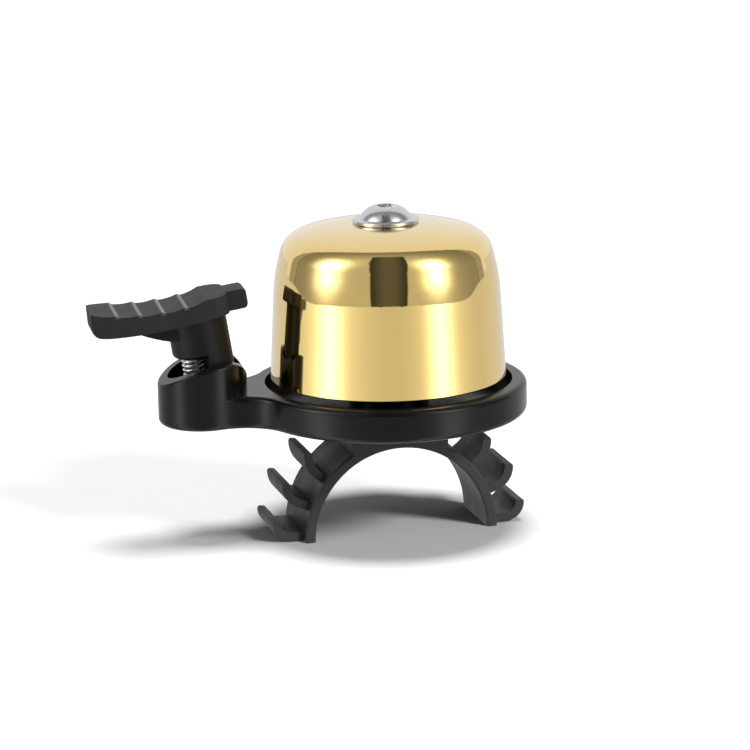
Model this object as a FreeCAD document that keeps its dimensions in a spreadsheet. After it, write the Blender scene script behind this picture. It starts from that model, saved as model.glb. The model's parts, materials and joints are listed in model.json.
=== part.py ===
"""Thumb-lever bicycle bell, as a parametric FreeCAD document.

Row frame: the origin is the centre of the handlebar saddle's bore, +Y runs along the
handlebar and +Z up the gong's axis. The thumb lever is on the -X side. Millimetres.

The saddle and what stays with it are drawn in the row frame. Everything above the saddle is
the head: it is drawn in the head's own frame, whose origin is the middle of the base's
underside and whose arm points along -X, and each body's Placement lifts it onto the saddle
and turns it by head_yaw. The lever is drawn upright about its own pivot.
"""
import FreeCAD, Part
import math
import os

import Sketcher

os.makedirs("parts", exist_ok=True)
doc = FreeCAD.newDocument("bicycle_bell")

# ---------------------------------------------------------------- driving dimensions

DRIVING = {
    # saddle: half ring for the handlebar, pedestal and rubber-ring hooks
    "bar_radius": 12.13,
    "band_thickness": 1.44,
    "band_width": 11.6,
    "band_edge": 0.3,
    "pedestal_length": 13.4,
    "head_height": 16.15,
    "hook_count": 3,
    "hook_thickness": 1.2,
    "hook_width": 8.8,
    "hook_first_angle": 2.75,
    "hook_step_angle": 18.0,
    "hook_end_angle": 98.0,
    "hook_lead": 1.8,
    "hook_lead_step": 0.4,
    "hook_curl": 2.0,
    "hook_curl_step": 0.7,
    "hook_tip_edge": 0.35,
    # swivel joint under the head
    "head_yaw": -4.6,
    "bolt_radius": 2.0,
    "bolt_clearance": 0.06,
    "bolt_head_radius": 3.2,
    "bolt_head_height": 1.6,
    "bolt_recess_radius": 3.5,
    "bolt_recess_roof": 14.5,
    "bolt_grip": 6.0,
    "bolt_head_edge": 0.6,
    "bolt_socket_radius": 1.25,
    "bolt_socket_depth": 1.0,
    "bolt_end_chamfer": 0.4,
    "wave_washer_radius": 3.3,
    "wave_washer_thickness": 0.4,
    "swivel_washer_radius": 5.5,
    "swivel_washer_thickness": 0.8,
    "swivel_gap": 0.05,
    # base: dish, arm and lever boss
    "ring_radius": 18.87,
    "lip_radius": 16.92,
    "ring_height": 4.45,
    "floor_thickness": 1.6,
    "hub_radius": 5.5,
    "hub_height": 0.8,
    "arm_waist_arc": 6.0,
    "boss_distance": 25.65,
    "boss_radius": 6.05,
    "boss_low_top": 4.9,
    "boss_high_top": 8.5,
    "boss_crest_top": 8.87,
    "boss_top_arc": 16.5,
    "boss_heel_length": 2.5,
    "boss_heel_top": 5.9,
    "boss_heel_arc": 3.2,
    "cavity_half_width": 4.15,
    "cavity_outer": 30.35,
    "cavity_inner": 20.45,
    "cavity_floor": 1.5,
    "ring_edge": 0.75,
    "bottom_edge": 0.9,
    "boss_edge": 0.3,
    # gong and what carries it
    "rim_radius": 16.1,
    "rim_height": 5.1,
    "wall_flare": 0.056,
    "lean_height": 18.8,
    "lean_slope": 0.238,
    "lean_radius": 22.0,
    "shoulder_radius": 3.9,
    "crown_radius": 30.0,
    "crown_height": 26.25,
    "crown_drop": 1.85,
    "gong_wall": 1.2,
    "rim_edge": 0.15,
    "seat_radius": 4.9,
    "gong_hole_radius": 2.15,
    "crown_washer_radius": 3.6,
    "crown_washer_thickness": 0.8,
    "post_circumradius": 4.04,
    "lock_washer_radius": 3.5,
    "lock_washer_thickness": 0.5,
    "cap_flange_radius": 4.5,
    "cap_flange_thickness": 0.55,
    "cap_flange_crown": 0.1,
    "cap_dome_radius": 3.6,
    "cap_dome_arc": 3.2,
    "cap_height": 2.24,
    "cap_top_radius": 1.75,
    "cap_edge": 0.2,
    "cap_socket_radius": 1.15,
    "cap_socket_depth": 0.45,
    "cap_shank_length": 9.0,
    # thumb lever, drawn upright about its pivot
    "pivot_distance": 23.0,
    "pivot_height": 7.0,
    "lever_tilt": 8.5,
    "pin_radius": 0.8,
    "pin_clearance": 0.05,
    "pin_blind_end": 4.9,
    "pin_open_end": 5.35,
    "plate_outer": 16.4,
    "plate_inner": 2.3,
    "plate_half_width": 4.4,
    "plate_inner_corner": 2.2,
    "plate_outer_corner": 2.5,
    "plate_heel": 1.1,
    "plate_bottom": 8.4,
    "plate_outer_bottom": 8.63,
    "plate_bend": 64.0,
    "plate_bend_end": 0.2,
    "plate_end_lean": 0.45,
    "plate_outer_top": 12.05,
    "plate_low_top": 10.4,
    "plate_low_distance": 5.5,
    "plate_inner_top": 11.1,
    "plate_crest_distance": 0.8,
    "ridge_height": 0.25,
    "ridge_bevel": 0.4,
    "ridge_count": 4,
    "ridge_first": 12.95,
    "ridge_step": 3.1,
    "scallop_arc": 7.0,
    "nose_root": 1.0,
    "nose_end": 5.05,
    "nose_half_width": 2.1,
    "nose_top": 11.1,
    "nose_edge": 0.7,
    "stem_offset": 2.08,
    "stem_radius": 4.02,
    "stem_step": 3.05,
    "step_edge": 0.6,
    "tongue_outer": 1.75,
    "tongue_inner": 1.94,
    "keel_half_width": 2.8,
    "keel_outer": 11.4,
    "keel_inner": 3.0,
    "keel_bottom": 6.0,
    "keel_arc": 20.0,
    # return spring between the boss cavity and the step in the stem
    "spring_radius": 1.34,
    "spring_wire": 0.21,
    "spring_seat_offset": 3.5,
    "spring_foot_distance": 26.15,
    "spring_pitch": 0.69,
    "spring_end_room": 2.2,
}

sheet = doc.addObject("Spreadsheet::Sheet", "Sizes")
for row, (alias, value) in enumerate(DRIVING.items(), start=1):
    sheet.set(f"A{row}", alias)
    sheet.set(f"B{row}", str(value))
    sheet.setAlias(f"B{row}", alias)
doc.recompute()


class Size:
    """A length or angle that knows both its number and its expression in the sheet."""

    def __init__(self, value, text=None):
        self.value = float(value)
        self.text = text if text is not None else f"{float(value):.6g}"

    def _joined(self, other, sign, value):
        return Size(value, f"({self.text} {sign} {other.text})")

    def __add__(self, other):
        other = as_size(other)
        return self._joined(other, "+", self.value + other.value)

    def __sub__(self, other):
        other = as_size(other)
        return self._joined(other, "-", self.value - other.value)

    def __mul__(self, other):
        other = as_size(other)
        return self._joined(other, "*", self.value * other.value)

    def __truediv__(self, other):
        other = as_size(other)
        return self._joined(other, "/", self.value / other.value)

    def __neg__(self):
        return Size(-self.value, f"(0 - {self.text})")

    __radd__ = __add__
    __rmul__ = __mul__


def as_size(number):
    return number if isinstance(number, Size) else Size(number)


def sine(angle):
    return Size(math.sin(math.radians(angle.value)), f"sin({angle.text})")


def cosine(angle):
    return Size(math.cos(math.radians(angle.value)), f"cos({angle.text})")


def root(size):
    return Size(math.sqrt(size.value), f"sqrt({size.text})")


def leg(hypotenuse, other_leg):
    """The second leg of a right triangle."""
    return root(hypotenuse * hypotenuse - other_leg * other_leg)


class Sizes:
    """Each driving dimension as an attribute: s.bar_radius, and so on."""

    def __init__(self):
        for name, value in DRIVING.items():
            setattr(self, name, Size(value, f"Sizes.{name}"))


s = Sizes()
ZERO = Size(0)
OVERLAP = Size(0.25)  # how far one feature sinks into the next so that they fuse
PAST = Size(1)        # how far a cutting outline runs past the solid
RIGHT_THROUGH = 3     # a cut this many radii or half-widths long passes through the solid

# ---------------------------------------------------------------- sketch and feature helpers


def new_body(label):
    body = doc.addObject("PartDesign::Body", label)
    body.Label = label
    return body


def origin_plane(body, role):
    return next(item for item in body.Origin.OriginFeatures if item.Role == role)


def new_sketch(body, role, name, offset=ZERO):
    """A sketch on one of the body's own origin planes, lifted along the plane's normal."""
    sketch = body.newObject("Sketcher::SketchObject", name)
    sketch.AttachmentSupport = [(origin_plane(body, role), "")]
    sketch.MapMode = "FlatFace"
    sketch.AttachmentOffset = FreeCAD.Placement(
        FreeCAD.Vector(0, 0, offset.value), FreeCAD.Rotation())
    if offset.value:
        sketch.setExpression("AttachmentOffset.Base.z", offset.text)
    return sketch


def pin_point(sketch, geometry, position, point):
    """Fix one point of the sketch at sheet-driven coordinates."""
    axes = (("DistanceX", -2, point[0]), ("DistanceY", -1, point[1]))
    for kind, axis, size in axes:
        if abs(size.value) < 1e-9:
            sketch.addConstraint(Sketcher.Constraint("PointOnObject", geometry, position, axis))
            continue
        index = sketch.addConstraint(
            Sketcher.Constraint(kind, -1, 1, geometry, position, size.value))
        sketch.setExpression(f"Constraints[{index}]", size.text)


def arc_geometry(start, end, radius, clockwise):
    """The minor arc from start to end with the given radius."""
    first = FreeCAD.Vector(start[0].value, start[1].value, 0)
    last = FreeCAD.Vector(end[0].value, end[1].value, 0)
    chord = last - first
    sideways = FreeCAD.Vector(-chord.y, chord.x, 0).normalize()
    height = math.sqrt(radius.value ** 2 - (chord.Length / 2) ** 2)
    centre = (first + last) * 0.5 + sideways * (-height if clockwise else height)
    if clockwise:
        first, last = last, first
    angles = [math.atan2(p.y - centre.y, p.x - centre.x) for p in (first, last)]
    circle = Part.Circle(centre, FreeCAD.Vector(0, 0, 1), radius.value)
    return Part.ArcOfCircle(circle, *angles)


def draw(sketch, start, *steps):
    """A closed outline. Each step is (x, y), or (x, y, radius, "cw" or "ccw") for an arc."""
    points = [tuple(as_size(v) for v in start)]
    ends = []
    for step in steps:
        point = (as_size(step[0]), as_size(step[1]))
        if len(step) == 2:
            first = FreeCAD.Vector(points[-1][0].value, points[-1][1].value, 0)
            last = FreeCAD.Vector(point[0].value, point[1].value, 0)
            index = sketch.addGeometry(Part.LineSegment(first, last), False)
            ends.append((index, 1, 2))
        else:
            radius, turn = as_size(step[2]), step[3]
            arc = arc_geometry(points[-1], point, radius, turn == "cw")
            index = sketch.addGeometry(arc, False)
            ends.append((index, 2, 1) if turn == "cw" else (index, 1, 2))
            number = sketch.addConstraint(Sketcher.Constraint("Radius", index, radius.value))
            sketch.setExpression(f"Constraints[{number}]", radius.text)
        points.append(point)
    for (index, _, last), (following, first, _) in zip(ends, ends[1:] + ends[:1]):
        sketch.addConstraint(Sketcher.Constraint("Coincident", index, last, following, first))
    for (index, first, _), point in zip(ends, points):
        pin_point(sketch, index, first, point)


def draw_circle(sketch, x, y, radius):
    centre = FreeCAD.Vector(as_size(x).value, as_size(y).value, 0)
    index = sketch.addGeometry(
        Part.Circle(centre, FreeCAD.Vector(0, 0, 1), as_size(radius).value), False)
    number = sketch.addConstraint(Sketcher.Constraint("Radius", index, as_size(radius).value))
    sketch.setExpression(f"Constraints[{number}]", as_size(radius).text)
    pin_point(sketch, index, 3, (as_size(x), as_size(y)))


def pad(body, sketch, name, length, both_ways=False):
    feature = body.newObject("PartDesign::Pad", name)
    feature.Profile = sketch
    feature.setExpression("Length", length.text)
    feature.Midplane = both_ways
    doc.recompute()
    return feature


def pocket(body, sketch, name, length, both_ways=False, upward=False):
    """Cut the sketch away; stops the script if it cuts nothing."""
    before = body.Shape.Volume
    feature = body.newObject("PartDesign::Pocket", name)
    feature.Profile = sketch
    feature.setExpression("Length", length.text)
    feature.Midplane = both_ways
    feature.Reversed = upward
    doc.recompute()
    if body.Shape.Volume > before - 1e-6:
        raise RuntimeError(f"{name} cuts nothing")
    return feature


def revolve(body, sketch, name, angle=360.0):
    feature = body.newObject("PartDesign::Revolution", name)
    feature.Profile = sketch
    feature.ReferenceAxis = (sketch, ["V_Axis"])
    feature.Angle = angle
    doc.recompute()
    return feature


def groove(body, sketch, name):
    before = body.Shape.Volume
    feature = body.newObject("PartDesign::Groove", name)
    feature.Profile = sketch
    feature.ReferenceAxis = (sketch, ["V_Axis"])
    feature.Angle = 360.0
    doc.recompute()
    if body.Shape.Volume > before - 1e-6:
        raise RuntimeError(f"{name} cuts nothing")
    return feature


def edges_where(feature, test):
    return [f"Edge{number}" for number, edge in enumerate(feature.Shape.Edges, start=1)
            if test(edge)]


def fillet(body, base, name, radius, test):
    """Round the edges of base that pass the test."""
    names = edges_where(base, test)
    if not names:
        raise RuntimeError(f"{name} finds no edge")
    feature = body.newObject("PartDesign::Fillet", name)
    feature.Base = (base, names)
    feature.setExpression("Radius", as_size(radius).text)
    doc.recompute()
    if "Invalid" in feature.State:
        raise RuntimeError(f"{name} failed")
    return feature


def near(value, size, tolerance=1e-4):
    return abs(value - as_size(size).value) < tolerance


def at_height(edge, size):
    return all(near(vertex.Z, size) for vertex in edge.Vertexes)


def is_a(edge, kind):
    """Whether the edge is of that kind; an edge that a fillet made may have none."""
    try:
        return isinstance(edge.Curve, kind)
    except TypeError:
        return False


def is_circle(edge, radius):
    return is_a(edge, Part.Circle) and near(edge.Curve.Radius, radius)


def put_on_head(item, x=ZERO, z=ZERO):
    """Place something drawn at x, z in the head's frame, turned with the head."""
    axis = FreeCAD.Vector(0, 0, 1)
    item.Placement = FreeCAD.Placement(
        FreeCAD.Vector(), FreeCAD.Rotation(axis, s.head_yaw.value))
    item.setExpression("Placement.Base.x", (x * cosine(s.head_yaw)).text)
    item.setExpression("Placement.Base.y", (x * sine(s.head_yaw)).text)
    item.setExpression("Placement.Base.z", (s.head_height + z).text)


def put_at_height(item, z):
    item.Placement = FreeCAD.Placement()
    item.setExpression("Placement.Base.z", z.text)


def turned(label, *outline):
    """A round piece from half its section, drawn as radius and height."""
    body = new_body(label)
    sketch = new_sketch(body, "XZ_Plane", label + "_section")
    draw(sketch, *outline)
    revolve(body, sketch, label + "_turned")
    return body


def ring_piece(label, inner, outer, thickness):
    return turned(label, (inner, ZERO), (outer, ZERO), (outer, thickness), (inner, thickness),
                  (inner, ZERO))


# ---------------------------------------------------------------- handlebar saddle


def saddle_band(body):
    """Half ring over the handlebar, with its long edges eased."""
    section = new_sketch(body, "XY_Plane", "band_section")
    outer = s.bar_radius + s.band_thickness
    side = s.band_width / 2
    draw(section, (s.bar_radius, -side), (outer, -side), (outer, side), (s.bar_radius, side),
         (s.bar_radius, -side))
    band = revolve(body, section, "band", 180.0)
    if band.Shape.BoundBox.ZMax < 1:
        band.Reversed = True
        doc.recompute()
    return fillet(body, band, "band_edges", s.band_edge,
                  lambda edge: is_circle(edge, outer) or is_circle(edge, s.bar_radius))


def saddle_pedestal(body):
    middle = s.bar_radius + s.band_thickness / 2
    half = s.pedestal_length / 2
    foot = leg(middle, half)
    top = s.head_height - s.swivel_gap
    sketch = new_sketch(body, "XZ_Plane", "pedestal_outline")
    draw(sketch, (half, foot), (half, top), (-half, top), (-half, foot),
         (half, foot, middle, "cw"))
    return pad(body, sketch, "pedestal", s.band_width, both_ways=True)


def saddle_hook(body, number):
    """One strip that leaves the band squarely and curls up, for the rubber ring."""
    angle = s.hook_first_angle + number * s.hook_step_angle
    lead = s.hook_lead - number * s.hook_lead_step
    curl = s.hook_curl + number * s.hook_curl_step
    half = s.hook_thickness / 2
    start = s.bar_radius + s.band_thickness / 2
    reach = s.bar_radius + s.band_thickness + lead
    out = (cosine(angle), sine(angle))
    side = (sine(angle), -cosine(angle))
    end = (sine(s.hook_end_angle), -cosine(s.hook_end_angle))

    def along(distance, offset):
        return (out[0] * distance + side[0] * offset, out[1] * distance + side[1] * offset)

    centre = along(reach, -curl)

    def tip(radius):
        return (centre[0] + end[0] * radius, centre[1] + end[1] * radius)

    sketch = new_sketch(body, "XZ_Plane", f"hook_{number}_outline")
    draw(sketch, along(start, half), along(reach, half),
         (*tip(curl + half), curl + half, "ccw"), tip(curl - half),
         (*along(reach, -half), curl - half, "cw"), along(start, -half), along(start, half))
    return pad(body, sketch, f"hook_{number}", s.hook_width, both_ways=True)


def handlebar_saddle():
    body = new_body("handlebar_saddle")
    saddle_band(body)
    saddle_pedestal(body)
    hooks = [saddle_hook(body, number) for number in range(int(s.hook_count.value))]
    mirrored = body.newObject("PartDesign::Mirrored", "hooks_other_side")
    mirrored.Originals = hooks
    mirrored.MirrorPlane = (origin_plane(body, "YZ_Plane"), [""])
    body.Tip = mirrored
    doc.recompute()
    fillet(body, mirrored, "hook_tips", s.hook_tip_edge, is_hook_tip_edge)
    recess = new_sketch(body, "XZ_Plane", "bolt_way")
    clear = s.bolt_radius + s.bolt_clearance
    low = s.bar_radius - PAST
    roof = s.bolt_recess_roof
    washer_seat = s.head_height - s.swivel_washer_thickness
    washer_way = s.swivel_washer_radius + s.swivel_gap
    above = s.head_height + PAST
    draw(recess, (ZERO, low), (s.bolt_recess_radius, low), (s.bolt_recess_radius, roof),
         (clear, roof), (clear, washer_seat), (washer_way, washer_seat), (washer_way, above),
         (ZERO, above), (ZERO, low))
    groove(body, recess, "bolt_way_cut")
    return body


def is_hook_tip_edge(edge):
    """The two long edges at the free end of each hook."""
    if not is_a(edge, Part.Line) or not near(edge.Length, s.hook_width):
        return False
    middle = edge.valueAt((edge.FirstParameter + edge.LastParameter) / 2)
    for number in range(int(s.hook_count.value)):
        angle = s.hook_first_angle + number * s.hook_step_angle
        reach = s.bar_radius + s.band_thickness + s.hook_lead - number * s.hook_lead_step
        curl = s.hook_curl + number * s.hook_curl_step
        tip_x = (cosine(angle) * reach - sine(angle) * curl
                 + sine(s.hook_end_angle) * curl).value
        tip_z = (sine(angle) * reach + cosine(angle) * curl
                 - cosine(s.hook_end_angle) * curl).value
        gap = math.hypot(abs(middle.x) - tip_x, middle.z - tip_z)
        if near(gap, s.hook_thickness / 2, 0.01):
            return True
    return False


# ---------------------------------------------------------------- swivel fasteners


def swivel_washer():
    washer = ring_piece("swivel_washer", s.bolt_radius + s.bolt_clearance,
                        s.swivel_washer_radius, s.swivel_washer_thickness)
    put_at_height(washer, s.head_height - s.swivel_washer_thickness)
    return washer


def wave_washer():
    """Thin spring washer that sets how hard the head turns."""
    washer = ring_piece("wave_washer", s.bolt_radius + s.bolt_clearance,
                        s.wave_washer_radius, s.wave_washer_thickness)
    put_at_height(washer, s.bolt_recess_roof - s.wave_washer_thickness)
    return washer


def swivel_bolt():
    """Pan-head bolt from the handlebar side up into the post, with a hexagon socket."""
    head_top = s.bolt_recess_roof - s.wave_washer_thickness
    head_bottom = head_top - s.bolt_head_height
    floor = s.head_height + s.floor_thickness + s.hub_height + s.lock_washer_thickness
    end = floor + s.bolt_grip
    body = turned("swivel_bolt", (ZERO, head_bottom), (s.bolt_head_radius, head_bottom),
                  (s.bolt_head_radius, head_top), (s.bolt_radius, head_top),
                  (s.bolt_radius, end), (ZERO, end), (ZERO, head_bottom))
    fillet(body, body.Tip, "swivel_bolt_head_edge", s.bolt_head_edge,
           lambda edge: is_circle(edge, s.bolt_head_radius) and at_height(edge, head_bottom))
    hex_socket(body, "swivel_bolt", head_bottom, s.bolt_socket_radius, s.bolt_socket_depth,
               upward=True)
    chamfer_end(body, "swivel_bolt", end, s.bolt_radius)
    put_on_head(body, z=-s.head_height)
    return body


def hex_socket(body, label, height, flat_radius, depth, upward):
    sketch = new_sketch(body, "XY_Plane", label + "_socket_outline", height)
    corner = flat_radius / cosine(Size(30))
    corners = [(corner * cosine(Size(60 * k)), corner * sine(Size(60 * k))) for k in range(6)]
    draw(sketch, *corners, corners[0])
    return pocket(body, sketch, label + "_socket", depth, upward=upward)


def chamfer_end(body, label, height, radius):
    base = body.Tip
    feature = body.newObject("PartDesign::Chamfer", label + "_point")
    feature.Base = (base, edges_where(
        base, lambda edge: is_circle(edge, radius) and at_height(edge, height)))
    feature.setExpression("Size", s.bolt_end_chamfer.text)
    doc.recompute()
    return feature


# ---------------------------------------------------------------- base: dish, arm and boss


def base_housing():
    body = new_body("base_housing")
    hole = s.bolt_radius + s.bolt_clearance
    seat = s.floor_thickness + s.hub_height
    section = new_sketch(body, "XZ_Plane", "dish_section")
    draw(section, (hole, ZERO), (s.ring_radius, ZERO), (s.ring_radius, s.ring_height),
         (s.lip_radius, s.ring_height), (s.lip_radius, s.floor_thickness),
         (s.hub_radius, s.floor_thickness), (s.hub_radius, seat), (hole, seat), (hole, ZERO))
    revolve(body, section, "dish")

    draw_arm(body)
    fillet(body, body.Tip, "upper_edge", s.ring_edge,
           lambda edge: at_height(edge, s.ring_height) and not is_circle(edge, s.lip_radius)
           and not is_a(edge, Part.Line))
    boss = new_sketch(body, "XY_Plane", "boss_outline")
    draw_circle(boss, -s.boss_distance, ZERO, s.boss_radius)
    pad(body, boss, "boss", s.boss_high_top + PAST)
    boss_top(body)
    boss_heel(body)
    fillet(body, body.Tip, "underside_edge", s.bottom_edge,
           lambda edge: at_height(edge, ZERO) and edge_reach(edge) > s.hub_radius.value)
    cut_cavity(body)
    cut_pin_hole(body)
    put_on_head(body)
    return body


def draw_arm(body):
    """Arm whose waisted sides run tangent from the ring to the boss."""
    to_boss = s.boss_radius + s.arm_waist_arc
    to_ring = s.ring_radius + s.arm_waist_arc
    distance = s.boss_distance
    waist_x = (to_ring * to_ring - to_boss * to_boss + distance * distance) / (distance * 2)
    waist_y = leg(to_ring, waist_x)
    boss_x = (waist_x - distance) * s.boss_radius / to_boss + distance
    boss_y = waist_y * s.boss_radius / to_boss
    middle = (s.ring_radius + s.lip_radius) / 2
    ring_x, ring_y = (value * s.ring_radius / to_ring for value in (waist_x, waist_y))
    lip_x, lip_y = (value * middle / to_ring for value in (waist_x, waist_y))
    sketch = new_sketch(body, "XY_Plane", "arm_outline")
    draw(sketch, (-boss_x, -boss_y), (-ring_x, -ring_y, s.arm_waist_arc, "cw"),
         (-lip_x, -lip_y), (-lip_x, lip_y, middle, "cw"), (-ring_x, ring_y),
         (-boss_x, boss_y, s.arm_waist_arc, "cw"), (-boss_x, -boss_y))
    return pad(body, sketch, "arm", s.ring_height)


def boss_top(body):
    """The boss falls gently outward from the gong's side."""
    outer = s.boss_distance + s.boss_radius + PAST
    inner = s.boss_distance - s.boss_radius - PAST
    over = s.boss_high_top + PAST * 3
    sketch = new_sketch(body, "XZ_Plane", "boss_top_outline")
    draw(sketch, (-outer, s.boss_low_top), (-inner, s.boss_high_top, s.boss_top_arc, "cw"),
         (-inner, over), (-outer, over), (-outer, s.boss_low_top))
    pocket(body, sketch, "boss_top", s.boss_radius * RIGHT_THROUGH, both_ways=True)
    return fillet(body, body.Tip, "boss_rim", s.boss_edge, is_boss_rim)


def boss_heel(body):
    """Round the gong's side of the boss down, out of the way of the lever's stroke."""
    heel = s.boss_distance - s.boss_radius
    crest = heel + s.boss_heel_length
    over = s.boss_high_top + PAST * 3
    past = PAST - heel
    sketch = new_sketch(body, "XZ_Plane", "boss_heel_outline")
    draw(sketch, (-crest, s.boss_crest_top), (-heel, s.boss_heel_top, s.boss_heel_arc, "cw"),
         (past, s.boss_heel_top), (past, over), (-crest, over), (-crest, s.boss_crest_top))
    return pocket(body, sketch, "boss_heel", s.boss_radius * RIGHT_THROUGH, both_ways=True)


def cut_cavity(body):
    """Slot-shaped well for the lever's tongue and the return spring."""
    half = s.cavity_half_width
    left = half - s.cavity_outer
    right = -s.cavity_inner - half
    sketch = new_sketch(body, "XY_Plane", "cavity_outline", s.cavity_floor)
    draw(sketch, (right, -half), (right + half, ZERO, half, "ccw"),
         (right, half, half, "ccw"), (left, half), (left - half, ZERO, half, "ccw"),
         (left, -half, half, "ccw"), (right, -half))
    return pocket(body, sketch, "cavity", s.boss_high_top + PAST, upward=True)


def edge_reach(edge):
    """Largest distance of an edge from the gong's axis."""
    first, last = edge.FirstParameter, edge.LastParameter
    points = [edge.valueAt(first + (last - first) * k / 4) for k in range(5)]
    return max(math.hypot(point.x, point.y) for point in points)


def boss_gap(point):
    """Signed distance of a point outside the boss's wall, in plan."""
    return math.hypot(point.x + s.boss_distance.value, point.y) - s.boss_radius.value


def is_boss_rim(edge):
    """Edges along the outside of the boss's top."""
    first, last = edge.FirstParameter, edge.LastParameter
    points = [edge.valueAt(first + (last - first) * k / 6) for k in range(7)]
    on_wall = all(abs(boss_gap(point)) < 0.01 for point in points)
    return on_wall and min(point.z for point in points) > (s.ring_height + OVERLAP).value


def cut_pin_hole(body):
    """Blind hole for the pivot pin, open at the back."""
    cutter = body.newObject("PartDesign::SubtractiveCylinder", "pin_hole")
    cutter.setExpression("Radius", s.pin_radius.text)
    cutter.setExpression("Height", (s.pin_blind_end + s.pin_open_end + PAST).text)
    cutter.Placement = FreeCAD.Placement(
        FreeCAD.Vector(-s.pivot_distance.value, -s.pin_blind_end.value, s.pivot_height.value),
        FreeCAD.Rotation(FreeCAD.Vector(1, 0, 0), -90))
    doc.recompute()
    return cutter


# ---------------------------------------------------------------- gong and its mounting


def gong():
    """Pressed brass bell: flared wall that leans into a rounded shoulder, and a shallow crown."""
    body = new_body("gong")
    section = new_sketch(body, "XZ_Plane", "gong_section")
    top = s.crown_height
    wall = s.gong_wall
    corner_height = top - s.crown_drop
    lean_radius = s.rim_radius - (s.lean_height - s.rim_height) * s.wall_flare
    corner_radius = lean_radius - (corner_height - s.lean_height) * s.lean_slope
    inner_height = corner_height - wall
    inner_corner = corner_radius - wall
    draw(section, (s.rim_radius - wall, s.rim_height), (s.rim_radius, s.rim_height),
         (lean_radius, s.lean_height), (corner_radius, corner_height),
         (s.seat_radius, top, s.crown_radius, "ccw"), (s.gong_hole_radius, top),
         (s.gong_hole_radius, top - wall), (s.seat_radius, top - wall),
         (inner_corner, inner_height, s.crown_radius, "cw"),
         (lean_radius - wall, s.lean_height), (s.rim_radius - wall, s.rim_height))
    revolve(body, section, "gong_shell")
    roundings = (("lean_outside", s.lean_radius, lean_radius, s.lean_height),
                 ("lean_inside", s.lean_radius - wall, lean_radius - wall, s.lean_height),
                 ("shoulder_outside", s.shoulder_radius, corner_radius, corner_height),
                 ("shoulder_inside", s.shoulder_radius - wall, inner_corner, inner_height))
    for name, radius, reach, height in roundings:
        fillet(body, body.Tip, name, radius,
               lambda edge, reach=reach, height=height: is_circle(edge, reach)
               and at_height(edge, height))
    fillet(body, body.Tip, "rim_edges", s.rim_edge,
           lambda edge: at_height(edge, s.rim_height))
    put_on_head(body)
    return body


def cap_screw():
    """Polished screw: thin flange, low dome and a hexagon socket, with a plain shank."""
    flange = s.cap_flange_thickness
    body = turned("cap_screw", (ZERO, -s.cap_shank_length),
                  (s.bolt_radius, -s.cap_shank_length), (s.bolt_radius, ZERO),
                  (s.cap_flange_radius, ZERO), (s.cap_flange_radius, flange),
                  (s.cap_dome_radius, flange + s.cap_flange_crown),
                  (s.cap_top_radius, s.cap_height, s.cap_dome_arc, "ccw"), (ZERO, s.cap_height),
                  (ZERO, -s.cap_shank_length))
    fillet(body, body.Tip, "cap_screw_edges", s.cap_edge,
           lambda edge: is_circle(edge, s.cap_flange_radius)
           or (is_circle(edge, s.cap_top_radius) and at_height(edge, s.cap_height)))
    hex_socket(body, "cap_screw", s.cap_height, s.cap_socket_radius, s.cap_socket_depth,
               upward=False)
    chamfer_end(body, "cap_screw", -s.cap_shank_length, s.bolt_radius)
    put_on_head(body, z=s.crown_height)
    return body


def crown_washer():
    washer = ring_piece("crown_washer", s.gong_hole_radius, s.crown_washer_radius,
                        s.crown_washer_thickness)
    put_on_head(washer, z=s.crown_height - s.gong_wall - s.crown_washer_thickness)
    return washer


def lock_washer():
    washer = ring_piece("lock_washer", s.bolt_radius + s.bolt_clearance,
                        s.lock_washer_radius, s.lock_washer_thickness)
    put_on_head(washer, z=s.floor_thickness + s.hub_height)
    return washer


def centre_post():
    """Hexagonal standoff, threaded right through, that holds the gong above the base."""
    foot = s.floor_thickness + s.hub_height + s.lock_washer_thickness
    height = s.crown_height - s.gong_wall - s.crown_washer_thickness - foot
    bar = doc.addObject("Part::Prism", "post_bar")
    bar.Polygon = 6
    bar.setExpression("Circumradius", s.post_circumradius.text)
    bar.setExpression("Height", height.text)
    thread = doc.addObject("Part::Cylinder", "post_thread")
    thread.setExpression("Radius", s.bolt_radius.text)
    thread.setExpression("Height", height.text)
    post = doc.addObject("Part::Cut", "centre_post")
    post.Label = "centre_post"
    post.Base = bar
    post.Tool = thread
    put_on_head(post, z=foot)
    return post


# ---------------------------------------------------------------- thumb lever


def put_on_pivot(item):
    """Place something drawn about the lever's pivot, leaning out by lever_tilt."""
    put_on_head(item, x=-s.pivot_distance, z=s.pivot_height)
    turn = FreeCAD.Rotation(FreeCAD.Vector(0, 0, 1), s.head_yaw.value)
    lean = FreeCAD.Rotation(FreeCAD.Vector(0, 1, 0), -s.lever_tilt.value)
    item.Placement = FreeCAD.Placement(item.Placement.Base, turn * lean)


def plate_top(distance):
    """Height of the thumb plate's hollowed top at a distance outward from the pivot."""
    lowest = s.plate_low_distance
    outward = (distance - lowest) * (distance - lowest)
    reach = (s.plate_outer - lowest) * (s.plate_outer - lowest)
    return s.plate_low_top + (s.plate_outer_top - s.plate_low_top) * outward / reach


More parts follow.
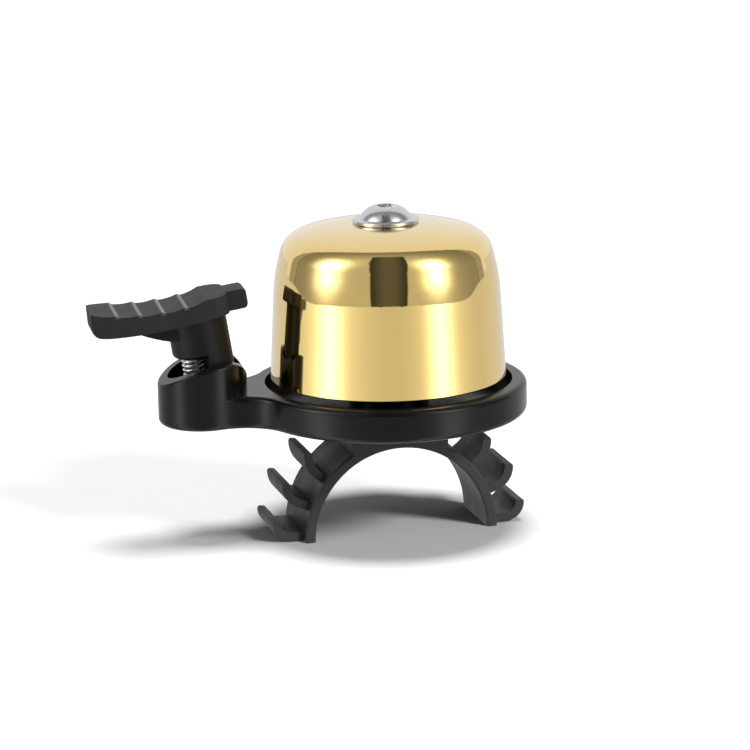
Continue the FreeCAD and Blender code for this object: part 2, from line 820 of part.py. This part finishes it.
def thumb_plate(body):
    """Plate with rounded corners in plan, a bent underside and a hollowed, ridged top."""
    outer, inner = -s.plate_outer, s.plate_inner
    side = s.plate_half_width
    near_corner, far_corner = s.plate_inner_corner, s.plate_outer_corner
    plan = new_sketch(body, "XY_Plane", "plate_plan", s.plate_bottom - PAST)
    draw(plan, (outer + far_corner, -side), (inner - near_corner, -side),
         (inner, near_corner - side, near_corner, "ccw"), (inner, side - near_corner),
         (inner - near_corner, side, near_corner, "ccw"), (outer + far_corner, side),
         (outer, side - far_corner, far_corner, "ccw"), (outer, far_corner - side),
         (outer + far_corner, -side, far_corner, "ccw"))
    pad(body, plan, "plate", s.plate_outer_top - s.plate_bottom + PAST * 2)

    heel = s.plate_heel
    heel_top = s.plate_outer_bottom + heel
    over = s.plate_outer_top + PAST * 2
    under = s.plate_bottom - PAST * 2
    below = new_sketch(body, "XZ_Plane", "plate_underside_outline")
    draw(below, (outer, heel_top), (outer + heel, s.plate_outer_bottom, heel, "ccw"),
         (s.plate_bend_end, s.plate_bottom, s.plate_bend, "ccw"),
         (inner + PAST, s.plate_bottom), (inner + PAST, under), (outer - PAST, under),
         (outer - PAST, over), (outer + s.plate_end_lean, over), (outer, heel_top))
    pocket(body, below, "plate_underside", side * RIGHT_THROUGH, both_ways=True)

    top = []
    for number in reversed(range(int(s.ridge_count.value))):
        ridge = s.ridge_first - number * s.ridge_step
        foot = ridge - s.ridge_bevel
        top += [(-foot, plate_top(foot), s.scallop_arc, "cw"),
                (-ridge, plate_top(ridge) + s.ridge_height)]
    above = new_sketch(body, "XZ_Plane", "plate_top_outline")
    draw(above, (inner + PAST, s.plate_inner_top),
         (-s.plate_crest_distance, s.plate_inner_top), *top,
         (outer, s.plate_outer_top, s.scallop_arc * 2, "cw"),
         (outer - PAST, s.plate_outer_top), (outer - PAST, over), (inner + PAST, over),
         (inner + PAST, s.plate_inner_top))
    return pocket(body, above, "plate_hollow", side * RIGHT_THROUGH, both_ways=True)


def lever_stem(body):
    """Round stem, cut back to a step for the spring and to a tongue round the pin."""
    low = -s.tongue_inner
    stem = new_sketch(body, "XY_Plane", "stem_outline", low)
    draw_circle(stem, -s.stem_offset, ZERO, s.stem_radius)
    pad(body, stem, "stem", s.plate_bottom + OVERLAP - low)

    spring_side = new_sketch(body, "XZ_Plane", "spring_side_outline")
    outer = -s.stem_offset - s.stem_radius - PAST
    below = low - PAST
    draw(spring_side, (outer, below), (-s.tongue_outer, below), (-s.tongue_outer, s.stem_step),
         (outer, s.stem_step), (outer, below))
    pocket(body, spring_side, "spring_side", s.stem_radius * RIGHT_THROUGH, both_ways=True)

    around = new_sketch(body, "XZ_Plane", "tongue_end_outline")
    inner = s.tongue_inner
    draw(around, (ZERO, -inner), (inner, ZERO, inner, "ccw"), (inner + PAST, ZERO),
         (inner + PAST, low - PAST), (ZERO, low - PAST), (ZERO, -inner))
    return pocket(body, around, "tongue_end", s.stem_radius * RIGHT_THROUGH, both_ways=True)


def lever_keel(body):
    """Rib that carries the plate from the stem."""
    step_side = -s.stem_offset - s.stem_radius
    sketch = new_sketch(body, "XZ_Plane", "keel_outline")
    top = s.plate_bottom + OVERLAP
    draw(sketch, (-s.keel_outer, top), (step_side, s.keel_bottom, s.keel_arc, "ccw"),
         (-s.keel_inner, s.keel_bottom), (-s.keel_inner, top), (-s.keel_outer, top))
    return pad(body, sketch, "keel", s.keel_half_width * 2, both_ways=True)


def lever_nose(body):
    """Striker block at the gong's end of the plate."""
    sketch = new_sketch(body, "XZ_Plane", "nose_outline")
    draw(sketch, (s.nose_root, s.plate_bottom), (s.nose_end, s.plate_bottom),
         (s.nose_end, s.nose_top), (s.nose_root, s.nose_top), (s.nose_root, s.plate_bottom))
    nose = pad(body, sketch, "nose", s.nose_half_width * 2, both_ways=True)
    return fillet(body, nose, "nose_edges", s.nose_edge, is_nose_edge)


def is_nose_edge(edge):
    return all(near(vertex.X, s.nose_end) for vertex in edge.Vertexes)


def thumb_lever():
    body = new_body("thumb_lever")
    thumb_plate(body)
    lever_stem(body)
    lever_keel(body)
    lever_nose(body)
    fillet(body, body.Tip, "step_edge", s.step_edge,
           lambda edge: is_circle(edge, s.stem_radius) and at_height(edge, s.stem_step))
    bore = body.newObject("PartDesign::SubtractiveCylinder", "pin_bore")
    bore.setExpression("Radius", (s.pin_radius + s.pin_clearance).text)
    bore.setExpression("Height", (s.stem_radius * RIGHT_THROUGH).text)
    bore.Placement = FreeCAD.Placement(
        FreeCAD.Vector(0, -s.stem_radius.value * RIGHT_THROUGH / 2, 0),
        FreeCAD.Rotation(FreeCAD.Vector(1, 0, 0), -90))
    doc.recompute()
    put_on_pivot(body)
    return body


def pivot_pin():
    pin = doc.addObject("Part::Cylinder", "pivot_pin")
    pin.Label = "pivot_pin"
    pin.setExpression("Radius", s.pin_radius.text)
    pin.setExpression("Height", (s.pin_blind_end + s.pin_open_end).text)
    yaw = FreeCAD.Rotation(FreeCAD.Vector(0, 0, 1), s.head_yaw.value)
    start = yaw.multVec(FreeCAD.Vector(-s.pivot_distance.value, -s.pin_blind_end.value, 0))
    start.z = (s.head_height + s.pivot_height).value
    along_y = FreeCAD.Rotation(FreeCAD.Vector(1, 0, 0), -90)
    pin.Placement = FreeCAD.Placement(start, yaw * along_y)
    return pin


def return_spring():
    """Coil spring from the cavity's floor to the step in the lever's stem."""
    lean = math.radians(s.lever_tilt.value)
    across, up = -s.spring_seat_offset.value, s.stem_step.value
    top = FreeCAD.Vector(
        across * math.cos(lean) - up * math.sin(lean) - s.pivot_distance.value, 0,
        across * math.sin(lean) + up * math.cos(lean) + s.pivot_height.value)
    foot = FreeCAD.Vector(-s.spring_foot_distance.value, 0, s.cavity_floor.value)
    span = top - foot
    squeeze = (s.spring_wire * s.spring_end_room).value
    body = new_body("return_spring")
    wire = new_sketch(body, "XZ_Plane", "spring_wire_section")
    draw_circle(wire, s.spring_radius, ZERO, s.spring_wire)
    coil = body.newObject("PartDesign::AdditiveHelix", "coil")
    coil.Profile = wire
    coil.ReferenceAxis = (wire, ["V_Axis"])
    coil.Mode = 0
    coil.setExpression("Pitch", s.spring_pitch.text)
    coil.Height = span.Length - squeeze
    doc.recompute()
    direction = FreeCAD.Vector(span).normalize()
    start = foot + direction * (squeeze / 2)
    start.z += s.head_height.value
    yaw = FreeCAD.Rotation(FreeCAD.Vector(0, 0, 1), s.head_yaw.value)
    body.Placement = FreeCAD.Placement(
        yaw.multVec(start), yaw * FreeCAD.Rotation(FreeCAD.Vector(0, 0, 1), direction))
    return body


# ---------------------------------------------------------------- the whole bell

NODES = [handlebar_saddle(), swivel_washer(), wave_washer(), swivel_bolt(), base_housing(),
         lock_washer(), centre_post(), crown_washer(), gong(), cap_screw(), thumb_lever(),
         pivot_pin(), return_spring()]
doc.recompute()

for item in doc.Objects:
    if "Invalid" in item.State or "Error" in item.State:
        raise RuntimeError(f"{item.Name} did not compute: {item.State}")
for node in NODES:
    shape = node.Shape
    if shape.isNull() or not shape.isValid() or len(shape.Solids) != 1:
        raise RuntimeError(f"{node.Label} is not one valid solid")
    shape.exportStep(f"parts/{node.Label}.step")
    print(f"{node.Label:18s} volume {shape.Volume:9.2f} mm3  z {shape.BoundBox.ZMin:7.2f} "
          f"to {shape.BoundBox.ZMax:6.2f}  x {shape.BoundBox.XMin:7.2f} to "
          f"{shape.BoundBox.XMax:6.2f}")
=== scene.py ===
"""Looks of the thumb-lever bicycle bell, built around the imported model. Metres."""

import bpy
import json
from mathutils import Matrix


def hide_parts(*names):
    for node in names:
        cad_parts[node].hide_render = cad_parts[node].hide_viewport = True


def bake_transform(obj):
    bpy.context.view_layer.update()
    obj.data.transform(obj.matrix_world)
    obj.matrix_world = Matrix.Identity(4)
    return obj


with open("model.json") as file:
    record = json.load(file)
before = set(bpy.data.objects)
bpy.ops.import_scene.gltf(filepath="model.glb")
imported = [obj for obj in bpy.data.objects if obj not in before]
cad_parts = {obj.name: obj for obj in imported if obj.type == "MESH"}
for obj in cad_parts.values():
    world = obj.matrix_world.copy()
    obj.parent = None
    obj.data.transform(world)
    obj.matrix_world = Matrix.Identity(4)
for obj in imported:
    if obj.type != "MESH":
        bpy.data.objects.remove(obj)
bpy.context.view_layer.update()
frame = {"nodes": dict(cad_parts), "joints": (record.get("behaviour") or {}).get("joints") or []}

import json
import math

import bmesh
import bpy
from mathutils import Matrix, Vector

MM = 0.001
UP = Vector((0, 0, 1))

# ---------------------------------------------------------------- where things are

JOINTS = {joint["name"]: joint for joint in frame["joints"]}
PIVOT = Vector(JOINTS["lever_press"]["pos_m"])
PIVOT_AXIS = Vector(JOINTS["lever_press"]["axis"]).normalized()
# level, from the gong out to the lever
ARM = Vector((PIVOT_AXIS.y, -PIVOT_AXIS.x, 0)).normalized()

# The lever leans outward, and the thumb plate is measured along and across that lean,
# from the pivot: its top is hollowed in an arc, and its ridges are counted from the inner one.
LEVER_TILT = math.radians(8.5)
PLATE_OUTWARD = ARM * math.cos(LEVER_TILT) - UP * math.sin(LEVER_TILT)
PLATE_UPWARD = ARM * math.sin(LEVER_TILT) + UP * math.cos(LEVER_TILT)
PLATE_BOTTOM = 8.0 * MM
PLATE_OUTER_END = 16.4 * MM
PLATE_LOW_DISTANCE = 5.5 * MM
PLATE_LOW_TOP = 10.4 * MM
PLATE_OUTER_RISE = 1.65 * MM
PLATE_HOLLOW = PLATE_OUTER_RISE / (PLATE_OUTER_END - PLATE_LOW_DISTANCE) ** 2
INNER_RIDGE = 3.55 * MM
RIDGE_STEP = 3.1 * MM
RIDGE_COUNT = 4

# ---------------------------------------------------------------- camera

CAMERA_AZIMUTH = math.radians(-15.14)
CAMERA_ELEVATION = math.radians(13.71)
CAMERA_ROLL = math.radians(-1.08)
CAMERA_DISTANCE = 0.5
CAMERA_TARGET = Vector((-1.464, 1.579, 20.831)) * MM
CAMERA_LENS = 175.29
TOWARD_CAMERA = Vector((math.sin(CAMERA_AZIMUTH), -math.cos(CAMERA_AZIMUTH), 0))
CAMERA_RIGHT = Vector((math.cos(CAMERA_AZIMUTH), math.sin(CAMERA_AZIMUTH), 0))


def make_camera():
    """A little above the bell, and to the left of its front."""
    data = bpy.data.cameras.new("camera")
    data.lens = CAMERA_LENS
    data.clip_start = 0.01
    data.clip_end = 20
    camera = bpy.data.objects.new("camera", data)
    bpy.context.collection.objects.link(camera)
    back = TOWARD_CAMERA * math.cos(CAMERA_ELEVATION) + UP * math.sin(CAMERA_ELEVATION)
    level = Matrix((CAMERA_RIGHT, back.cross(CAMERA_RIGHT), back)).transposed()
    turned = level @ Matrix.Rotation(CAMERA_ROLL, 3, "Z")
    place = Matrix.Translation(CAMERA_TARGET + back * CAMERA_DISTANCE)
    camera.matrix_world = place @ turned.to_4x4()
    bpy.context.scene.camera = camera


# ---------------------------------------------------------------- node trees


class Wires:
    """Short calls for building a node tree."""

    def __init__(self, tree):
        self.tree = tree
        tree.nodes.clear()

    def node(self, kind, inputs=None, **settings):
        made = self.tree.nodes.new(kind)
        for name, value in settings.items():
            setattr(made, name, value)
        for key, value in (inputs or {}).items():
            self.feed(made.inputs[key], value)
        return made

    def feed(self, socket, value):
        if isinstance(value, bpy.types.NodeSocket):
            self.tree.links.new(value, socket)
        else:
            socket.default_value = value

    def sum(self, operation, first, second=0.0, third=0.0):
        node = self.node("ShaderNodeMath", operation=operation)
        for socket, value in zip(node.inputs, (first, second, third)):
            self.feed(socket, value)
        return node.outputs[0]

    def along(self, vector, axis):
        """How far the vector reaches along the axis."""
        node = self.node("ShaderNodeVectorMath", operation="DOT_PRODUCT")
        self.feed(node.inputs[0], vector)
        node.inputs[1].default_value = axis
        return node.outputs["Value"]

    def ramp(self, value, low, high, start=0.0, end=1.0):
        """start below low, end above high, smooth between."""
        return self.node("ShaderNodeMapRange",
                         {"Value": value, "From Min": low, "From Max": high,
                          "To Min": start, "To Max": end},
                         interpolation_type="SMOOTHSTEP").outputs["Result"]

    def blend(self, factor, first, second):
        """first at factor 0, second at factor 1."""
        node = self.node("ShaderNodeMix", data_type="FLOAT")
        self.feed(node.inputs[0], factor)
        self.feed(node.inputs[2], first)
        self.feed(node.inputs[3], second)
        return node.outputs[0]

    def mix_colour(self, factor, first, second):
        return self.node("ShaderNodeMixRGB", {"Fac": factor, "Color1": (*first, 1),
                                              "Color2": (*second, 1)}).outputs[0]

    def bump(self, height, depth, strength=1.0):
        return self.node("ShaderNodeBump", {"Strength": strength, "Distance": depth,
                                            "Height": height}).outputs[0]


# ---------------------------------------------------------------- studio


def direction(azimuth, elevation):
    """Unit vector; azimuth 0 is towards the camera and positive to its right. Degrees."""
    turn = math.radians(azimuth)
    rise = math.radians(elevation)
    level = TOWARD_CAMERA * math.cos(turn) + CAMERA_RIGHT * math.sin(turn)
    return level * math.cos(rise) + UP * math.sin(rise)


# The polished gong mirrors a light tent, which only reflections and diffuse light see.
# Places in it are given by how far a direction points up or towards the camera, -1 to 1.

# two lit sheets: brightness level with the bell and high up, and the share kept at the sides
SHEET_LEVEL = 0.56
SHEET_HIGH = 0.32
SHEET_RISE = (0.0, 0.9)
SHEET_SIDE_SHARE = 0.55
SHEET_SIDE_TO_FRONT = (-0.2, 0.6)
# glows on the sheets: direction, brightness at the middle, how tightly it is gathered there
LAMPS = ((direction(-67, 19), 5.0, 42.0), (direction(-66, 37), 3.0, 40.0),
         (direction(-50, 52), 0.30, 7.0), (direction(55, 19), 5.0, 48.0),
         (direction(54, 37), 3.0, 46.0), (direction(44, 52), 0.30, 7.0))

# a dark slit between the sheets, for the camera: a straight band on a plane that leans back
SLIT_FACING = TOWARD_CAMERA * 1.03 + UP * 0.387
SLIT_NEAREST = 0.05
SLIT_CENTRE = 0.035
SLIT_HALF_WIDTH = 0.34
SLIT_SOFT_EDGE = 0.04
SLIT_MIDDLE_GREY = 0.12
SLIT_EDGE_GREY = 0.05
SLIT_MIDDLE_TO_EDGE = (0.05, 0.32)
SLIT_STARTS = (0.12, 0.20)

# behind the bell the sheets end at a dark seam, and a white sweep rises past it in an arch
SHEET_END = -0.30
SHEET_END_SOFT = 0.04
SEAM_GREY = 0.12
SEAM_FAR_GREY = 0.38
SEAM_DEPTH = 0.06
SWEEP_EDGE = -0.51
SWEEP_ARCH = 0.28
SWEEP_SOFT = 0.02
SWEEP_WHITE = 0.86

# the table under it: brightness near and behind the bell, and how far its edge dips beside it
TABLE_NEAR = 0.66
TABLE_FAR = 0.72
TABLE_FAR_TO_NEAR = (-0.6, -0.1)
TABLE_DIP = 0.09
TABLE_DIP_STARTS = (-0.4, 0.3)
TABLE_SOFT_EDGE = 0.012
# bright stripes across the table: azimuth, brightness, how tightly it is gathered there
TABLE_STRIPES = ((-60, 2.0, 21.0), (-52, 0.36, 3.5), (-80, 0.22, 8.0),
                 (53.5, 1.9, 26.0), (57, 0.42, 4.5))


def lit_sheets(w, ray, toward, up):
    """Brightness of the two sheets with their glows."""
    sheet = w.sum("MULTIPLY", w.ramp(up, *SHEET_RISE, SHEET_LEVEL, SHEET_HIGH),
                  w.ramp(toward, *SHEET_SIDE_TO_FRONT, SHEET_SIDE_SHARE, 1.0))
    for lamp, power, focus in LAMPS:
        spread = w.sum("SUBTRACT", w.along(ray, lamp), 1.0)
        glow = w.sum("EXPONENT", w.sum("MULTIPLY", spread, focus))
        sheet = w.sum("MULTIPLY_ADD", glow, power, sheet)
    return sheet


def cut_slit(w, sheet, ray, toward, right):
    """The sheets with the camera's slit between them."""
    depth = w.sum("MAXIMUM", w.along(ray, SLIT_FACING), SLIT_NEAREST)
    across = w.sum("ABSOLUTE", w.sum("SUBTRACT", w.sum("DIVIDE", right, depth), SLIT_CENTRE))
    between = w.ramp(across, SLIT_HALF_WIDTH - SLIT_SOFT_EDGE, SLIT_HALF_WIDTH, 1.0, 0.0)
    in_slit = w.sum("MULTIPLY", between, w.ramp(toward, *SLIT_STARTS))
    grey = w.ramp(across, *SLIT_MIDDLE_TO_EDGE, SLIT_MIDDLE_GREY, SLIT_EDGE_GREY)
    return w.blend(in_slit, sheet, grey)


def hang_sweep(w, sheet, toward, up):
    """The sheets, the seam behind them and the white sweep past it."""
    seam = w.ramp(toward, SHEET_END - SEAM_DEPTH, SHEET_END, SEAM_FAR_GREY, SEAM_GREY)
    room = w.blend(w.ramp(toward, SHEET_END - SHEET_END_SOFT, SHEET_END), seam, sheet)
    arch = w.sum("MULTIPLY_ADD", w.sum("MULTIPLY", up, up), SWEEP_ARCH, SWEEP_EDGE)
    before_sweep = w.ramp(w.sum("SUBTRACT", toward, arch), -SWEEP_SOFT, SWEEP_SOFT)
    return w.blend(before_sweep, SWEEP_WHITE, room)


def lit_table(w, toward, right):
    """Brightness of the table with its stripes."""
    azimuth = w.sum("ARCTAN2", right, toward)
    table = w.ramp(toward, *TABLE_FAR_TO_NEAR, TABLE_FAR, TABLE_NEAR)
    for angle, power, focus in TABLE_STRIPES:
        off = w.sum("SUBTRACT", azimuth, math.radians(angle))
        fall = w.sum("EXPONENT", w.sum("MULTIPLY", w.sum("MULTIPLY", off, off), -focus))
        table = w.sum("MULTIPLY_ADD", fall, power, table)
    return table


def make_world():
    """The light tent: sheets with a slit between them, a sweep behind, a table below."""
    world = bpy.data.worlds.new("light_tent")
    world.use_nodes = True
    bpy.context.scene.world = world
    w = Wires(world.node_tree)
    ray = w.node("ShaderNodeTexCoord").outputs["Generated"]
    toward = w.along(ray, TOWARD_CAMERA)
    right = w.along(ray, CAMERA_RIGHT)
    up = w.along(ray, UP)

    sheet = cut_slit(w, lit_sheets(w, ray, toward, up), ray, toward, right)
    above = hang_sweep(w, sheet, toward, up)
    dip = w.sum("MULTIPLY_ADD", toward, TABLE_DIP, -TABLE_DIP)
    table_edge = w.sum("MULTIPLY", dip, w.ramp(toward, *TABLE_DIP_STARTS))
    over_edge = w.ramp(w.sum("SUBTRACT", up, table_edge), -TABLE_SOFT_EDGE, 0.0)
    tent = w.blend(over_edge, lit_table(w, toward, right), above)

    path = w.node("ShaderNodeLightPath")
    shown = w.blend(path.outputs["Is Camera Ray"], tent, 1.0)
    background = w.node("ShaderNodeBackground", {"Color": (1, 1, 1, 1), "Strength": shown})
    w.node("ShaderNodeOutputWorld", {"Surface": background.outputs[0]})


def make_light(name, toward, strength, spread):
    """A large soft lamp far away in that direction; spread is its apparent size in degrees."""
    data = bpy.data.lights.new(name, "SUN")
    data.energy = strength
    data.angle = math.radians(spread)
    light = bpy.data.objects.new(name, data)
    light.rotation_mode = "QUATERNION"
    light.rotation_quaternion = toward.to_track_quat("Z", "Y")
    light.visible_glossy = False
    bpy.context.collection.objects.link(light)


FLOOR_REACH = 3.0
FLOOR_BELOW_FEET = 0.02 * MM
FLOOR_GREYS = (0.195, 0.205)


def make_floor():
    """A plain matt floor just under the saddle's feet, which the gong doesn't mirror."""
    mesh = bpy.data.meshes.new("floor")
    corners = [(x * FLOOR_REACH, y * FLOOR_REACH, 0)
               for x, y in ((-1, -1), (1, -1), (1, 1), (-1, 1))]
    mesh.from_pydata(corners, [], [(0, 1, 2, 3)])
    floor = bpy.data.objects.new("floor", mesh)
    bpy.context.collection.objects.link(floor)
    floor.location.z = -FLOOR_BELOW_FEET
    material, w = new_material("pale_floor")
    grain = w.node("ShaderNodeTexNoise", {"Scale": 900.0, "Detail": 3.0}).outputs["Fac"]
    low, high = FLOOR_GREYS
    finish_material(w, {"Base Color": w.mix_colour(grain, (low,) * 3, (high,) * 3),
                        "Roughness": 0.8, "Specular IOR Level": 0.0})
    mesh.materials.append(material)
    floor.visible_glossy = False


# ---------------------------------------------------------------- materials

# most of a noise's values lie in this range
NOISE_SPREAD = (0.3, 0.7)
CLOUD_SCALE = 260.0
GRAIN_SCALE = 5200.0
LIGHT_PATCH = 1.4
DARK_MARK = 0.88
# the lever: the painted highlight on the ridge crests fades out over these distances from a
# crest, and below the top
CREST_HIGHLIGHT_FADE = (0.08 * MM, 0.40 * MM)
CREST_HIGHLIGHT_DEPTH = 0.30 * MM
PLATE_BLEND = 0.3 * MM
STEM_SHADE = 0.0015
STEM_ROUGHNESS = 0.46
PLATE_ROUGHNESS = (0.55, 0.65)
PLATE_SHADES = (0.006, 0.008)
# grey of the painted highlight on the ridge crests
CREST_HIGHLIGHT_SHADE = 0.045


def new_material(name):
    material = bpy.data.materials.new(name)
    material.use_nodes = True
    return material, Wires(material.node_tree)


def finish_material(w, inputs):
    """A Principled surface with these inputs; plain numbers go on the shader's own sockets."""
    shader = w.node("ShaderNodeBsdfPrincipled", inputs)
    w.node("ShaderNodeOutputMaterial", {"Surface": shader.outputs[0]})


def noise(w, scale, detail=2.0, stretch=(1, 1, 1)):
    """Noise from 0 to 1 that stays on the surface."""
    place = w.node("ShaderNodeTexCoord").outputs["Object"]
    moved = w.node("ShaderNodeMapping", {"Vector": place, "Scale": stretch})
    return w.node("ShaderNodeTexNoise", {"Vector": moved.outputs[0], "Scale": scale,
                                         "Detail": detail}).outputs["Fac"]


def black_plastic(name, shade, grain_depth, roughness, gloss):
    """Black moulded plastic: satin, with a fine spark-eroded grain."""
    material, w = new_material(name)
    cloud = noise(w, CLOUD_SCALE, 3.0)
    colour = w.mix_colour(cloud, (shade,) * 3, (shade * LIGHT_PATCH,) * 3)
    finish_material(w, {"Base Color": colour,
                        "Roughness": w.ramp(cloud, *NOISE_SPREAD, *roughness),
                        "Normal": w.bump(noise(w, GRAIN_SCALE), grain_depth),
                        "Specular IOR Level": gloss})
    return material


def polished_brass():
    """Mirror-polished, lacquered brass with the faintest turning marks and haze."""
    material, w = new_material("polished_brass")
    haze = noise(w, 120.0, 4.0)
    turning = noise(w, 900.0, 2.0, (0.2, 0.2, 6.0))
    colour = w.mix_colour(haze, (0.91, 0.655, 0.205), (0.93, 0.675, 0.225))
    finish_material(w, {"Base Color": colour,
                        "Roughness": w.ramp(haze, 0.35, 0.75, 0.02, 0.05),
                        "Normal": w.bump(turning, 0.002 * MM, 0.02),
                        "Metallic": 1.0, "Coat Weight": 1.0, "Coat Roughness": 0.02})
    return material


def ridge_highlight_mask(w, outward, upward):
    """Mask for the painted highlight: 1 on the crests of the thumb plate's ridges, 0 off them
    and below its top.
    """
    counted = w.sum("DIVIDE", w.sum("SUBTRACT", outward, INNER_RIDGE), RIDGE_STEP)
    off_crest = w.sum("ABSOLUTE", w.sum("SUBTRACT", counted, w.sum("ROUND", counted)))
    crest = w.ramp(w.sum("MULTIPLY", off_crest, RIDGE_STEP), *CREST_HIGHLIGHT_FADE, 1.0, 0.0)
    off_middle = w.sum("ABSOLUTE", w.sum("SUBTRACT", counted, (RIDGE_COUNT - 1) / 2))
    ridged = w.ramp(off_middle, RIDGE_COUNT / 2 - 0.1, RIDGE_COUNT / 2, 1.0, 0.0)
    off_low = w.sum("SUBTRACT", outward, PLATE_LOW_DISTANCE)
    top = w.sum("MULTIPLY_ADD", w.sum("MULTIPLY", off_low, off_low), PLATE_HOLLOW,
                PLATE_LOW_TOP)
    at_top = w.ramp(w.sum("SUBTRACT", upward, top), -CREST_HIGHLIGHT_DEPTH, 0.0)
    return w.sum("MULTIPLY", w.sum("MULTIPLY", crest, ridged), at_top)


def thumb_plastic(name):
    """Black plastic, matt on the thumb plate and smooth below it, with a painted highlight in
    lighter grey on the ridge crests.
    """
    material, w = new_material(name)
    cloud = noise(w, CLOUD_SCALE, 3.0)
    place = w.node("ShaderNodeTexCoord").outputs["Object"]
    from_pivot = w.node("ShaderNodeVectorMath", operation="SUBTRACT")
    w.feed(from_pivot.inputs[0], place)
    w.feed(from_pivot.inputs[1], PIVOT)
    outward = w.along(from_pivot.outputs[0], PLATE_OUTWARD)
    upward = w.along(from_pivot.outputs[0], PLATE_UPWARD)
    on_plate = w.ramp(upward, PLATE_BOTTOM - PLATE_BLEND, PLATE_BOTTOM + PLATE_BLEND)
    patchy = w.ramp(cloud, 0.2, 0.7, 0.7, 1.0)
    # painted highlight: lighter grey on the ridge crests, patchy along them
    crest_highlight = w.sum("MULTIPLY", ridge_highlight_mask(w, outward, upward), patchy)
    plate_shade = w.ramp(cloud, *NOISE_SPREAD, *PLATE_SHADES)
    shade = w.blend(crest_highlight, w.blend(on_plate, STEM_SHADE, plate_shade), CREST_HIGHLIGHT_SHADE)
    colour = w.node("ShaderNodeCombineColor", {"Red": shade, "Green": shade, "Blue": shade})
    grain = w.sum("MULTIPLY", noise(w, GRAIN_SCALE), on_plate)
    matt = w.ramp(cloud, *NOISE_SPREAD, *PLATE_ROUGHNESS)
    finish_material(w, {"Base Color": colour.outputs[0],
                        "Roughness": w.blend(on_plate, STEM_ROUGHNESS, matt),
                        "Normal": w.bump(grain, 0.008 * MM),
                        "Specular IOR Level": 0.20})
    return material


def bright_metal(name, shade, roughness, scale):
    """Plated or drawn steel whose gloss varies with fine marks."""
    material, w = new_material(name)
    marks = noise(w, scale, 4.0)
    dark = tuple(value * DARK_MARK for value in shade)
    finish_material(w, {"Base Color": w.mix_colour(marks, dark, shade),
                        "Roughness": w.ramp(marks, *NOISE_SPREAD, *roughness),
                        "Normal": w.bump(marks, 0.01 * MM, 0.15),
                        "Metallic": 1.0})
    return material


def dress_nodes(wire):
    """Give each CAD node its material; the rest of the hardware is zinc plated."""
    steel = bright_metal("zinc_plated_steel", (0.62, 0.62, 0.64), (0.22, 0.36), 700.0)
    looks = {
        "base_housing": black_plastic("black_plastic_satin", shade=0.0009,
                                      grain_depth=0.003 * MM, roughness=(0.20, 0.26),
                                      gloss=0.23),
        "thumb_lever": thumb_plastic("black_plastic_thumb"),
        "handlebar_saddle": black_plastic("black_plastic_grained", shade=0.012,
                                          grain_depth=0.03 * MM, roughness=(0.45, 0.55),
                                          gloss=0.28),
        "gong": polished_brass(),
        "cap_screw": bright_metal("chrome_plate", (0.72, 0.72, 0.73), (0.16, 0.28), 2500.0),
        "return_spring": wire,
    }
    for name, node in frame["nodes"].items():
        material = looks.get(name, steel)
        for slot in node.material_slots:
            slot.material = material


# ---------------------------------------------------------------- return spring

# on the floor of the boss's well, and under the step in the lever's stem
SPRING_FOOT = PIVOT + ARM * 3.15 * MM - UP * 5.5 * MM
SPRING_TOP = PIVOT + ARM * 3.912 * MM + UP * 2.499 * MM
SPRING_RADIUS = 1.32 * MM
WIRE_RADIUS = 0.23 * MM
SPRING_TURNS = 13
# the turns at each end that lie closer, and their pitch as a share of the live turns' pitch
DEAD_TURNS = 1.2
DEAD_PITCH = 0.74
# height of the end turns' centre line over their seat, as a share of the wire's radius
GROUND_SHARE = 0.7
STEPS_PER_TURN = 32
WIRE_SIDES = 12


def spring_rise(turn):
    """Share of the spring's height reached after a number of turns; the end turns lie closer."""
    def climbed(at):
        at_ends = min(at, DEAD_TURNS) + max(at - (SPRING_TURNS - DEAD_TURNS), 0.0)
        return at - at_ends + at_ends * DEAD_PITCH
    return climbed(turn) / climbed(SPRING_TURNS)


def wire_ring(step, length):
    """The ring of points around the wire at a step of the coil, with its ends ground flat."""
    turn = step / STEPS_PER_TURN
    angle = 2 * math.pi * turn
    outward = Vector((math.cos(angle), math.sin(angle), 0))
    seat = WIRE_RADIUS * GROUND_SHARE
    level = seat + spring_rise(turn) * (length - 2 * seat)
    centre = outward * SPRING_RADIUS + UP * level
    for side in range(WIRE_SIDES):
        around = 2 * math.pi * side / WIRE_SIDES
        point = centre + (outward * math.cos(around) + UP * math.sin(around)) * WIRE_RADIUS
        point.z = min(max(point.z, 0.0), length)
        yield point


def make_spring(material):
    """Coil spring with closed ends ground flat, seated in the boss and under the lever."""
    axis = SPRING_TOP - SPRING_FOOT
    turned = axis.to_track_quat("Z", "Y").to_matrix()
    mesh = bmesh.new()
    rows = [[mesh.verts.new(SPRING_FOOT + turned @ point)
             for point in wire_ring(step, axis.length)]
            for step in range(SPRING_TURNS * STEPS_PER_TURN + 1)]
    for first, second in zip(rows, rows[1:]):
        for side in range(WIRE_SIDES):
            after = (side + 1) % WIRE_SIDES
            mesh.faces.new((first[side], first[after], second[after], second[side]))
    mesh.faces.new(rows[0][::-1])
    mesh.faces.new(rows[-1])
    bmesh.ops.recalc_face_normals(mesh, faces=mesh.faces)
    data = bpy.data.meshes.new("return_spring_coil")
    mesh.to_mesh(data)
    mesh.free()
    data.polygons.foreach_set("use_smooth", [True] * len(data.polygons))
    coil = bpy.data.objects.new("return_spring_coil", data)
    bpy.context.collection.objects.link(coil)
    data.materials.append(material)
    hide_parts("return_spring")
    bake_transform(coil)


make_camera()
make_world()
make_light("key", direction(52, 36), strength=7.5, spread=14.0)
make_light("overhead", direction(180, 86), strength=12.5, spread=24.0)
make_floor()
spring_wire = bright_metal("drawn_spring_wire", (0.82, 0.82, 0.83), (0.26, 0.36), 1500.0)
make_spring(spring_wire)
dress_nodes(spring_wire)
bpy.context.scene.view_settings.view_transform = "Standard"
